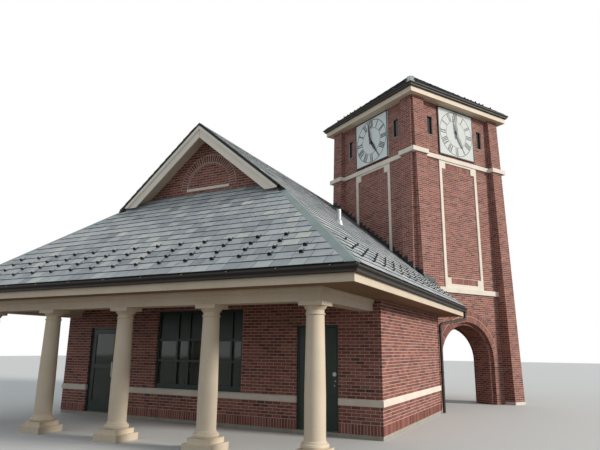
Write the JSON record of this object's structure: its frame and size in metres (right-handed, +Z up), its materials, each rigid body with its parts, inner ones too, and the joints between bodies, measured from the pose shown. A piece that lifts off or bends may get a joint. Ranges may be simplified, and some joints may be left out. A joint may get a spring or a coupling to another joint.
{
  "type": "railway station building with a columned porch and a clock tower",
  "caption": "Brick railway station building with a columned porch, a slated gable-on-hip roof and a turned brick clock tower over an archway.",
  "frame": {"origin": "on the centreline of the waiting room, halfway between its front and right-wall ends, at ground level under the floor slab", "axes": "+X to the right along the front, +Y towards the rear, +Z up; the porch faces -Y"},
  "size_m": [11.9028, 15.3579, 12.5165],
  "materials": {
    "concrete": "matte",
    "brick": "matte",
    "limestone": "matte",
    "green_paint": "satin",
    "glass": "gloss",
    "dark_glass": "gloss",
    "cream_paint": "satin",
    "soffit_paint": "matte",
    "bronze_metal": "satin",
    "slate": "matte",
    "cap_metal": "satin",
    "galvanised": "satin",
    "dial": "satin",
    "hand_black": "satin"
  },
  "bodies": {
    "building": {"floor_slab": "concrete", "foundation_strip": "concrete", "front_wall_left": "brick", "front_wall_middle": "brick", "front_wall_right": "brick", "door_head_walls": "brick", "left_wall": "brick", "right_wall": "brick", "rear_walls": "brick", "stone_band": "limestone", "door_frames": "green_paint", "window_frame": "green_paint", "window_glass": "glass", "window_panels": "green_paint", "porch_columns": "cream_paint", "porch_beams": "cream_paint", "soffit": "soffit_paint", "fascia": "cream_paint", "gutters": "bronze_metal", "downspouts": "bronze_metal", "front_roof_slope": "slate", "left_roof_slope": "slate", "right_roof_slope": "slate", "roof_caps": "cap_metal", "gable_wall": "brick", "lunette_ring": "brick", "lunette_sill": "limestone", "rake_boards": "cream_paint", "vent_pipe": "galvanised", "pilaster_bases": "limestone", "tower_base": "brick", "tower_shaft": "brick", "arch_rings": "brick", "tower_sills": "limestone", "slit_panes": "dark_glass", "tower_belt": "limestone", "panel_frames": "limestone", "clock_panels": "dial", "rear_clock_hands": "hand_black", "tower_eaves": "cream_paint", "tower_roof": "slate"},
    "entrance_leaf": {"entrance_door": "green_paint", "entrance_glass": "glass"},
    "steel_leaf": {"steel_door": "green_paint"},
    "front_minute": {"front_minute_hand": "hand_black"},
    "front_hour": {"front_hour_hand": "hand_black"},
    "side_minute": {"side_minute_hand": "hand_black"},
    "side_hour": {"side_hour_hand": "hand_black"}
  },
  "joints": [
    {"name": "entrance_swing", "type": "hinge", "parent": "building", "child": "entrance_leaf", "pos_m": [-3.602, -2.664, 1.2], "axis": [0, 0, -1], "range_deg": [0, 90]},
    {"name": "steel_door_swing", "type": "hinge", "parent": "building", "child": "steel_leaf", "pos_m": [2.654, -2.664, 1.2], "axis": [0, 0, -1], "range_deg": [0, 90]},
    {"name": "front_minute_turn", "type": "hinge", "parent": "building", "child": "front_minute", "pos_m": [2.09397, 4.17495, 9.208], "axis": [0.515, 0.8572, 0], "continuous": true},
    {"name": "front_hour_turn", "type": "hinge", "parent": "building", "child": "front_hour", "pos_m": [2.09397, 4.17495, 9.208], "axis": [0.515, 0.8572, 0], "continuous": true},
    {"name": "side_minute_turn", "type": "hinge", "parent": "building", "child": "side_minute", "pos_m": [5.01402, 4.903, 9.208], "axis": [-0.8572, 0.515, 0], "continuous": true},
    {"name": "side_hour_turn", "type": "hinge", "parent": "building", "child": "side_hour", "pos_m": [5.01402, 4.903, 9.208], "axis": [-0.8572, 0.515, 0], "continuous": true}
  ],
  "couplings": [
    {"joint": "front_hour_turn", "follows": "front_minute_turn", "ratio": 0.083333},
    {"joint": "side_hour_turn", "follows": "side_minute_turn", "ratio": 0.083333}
  ]
}
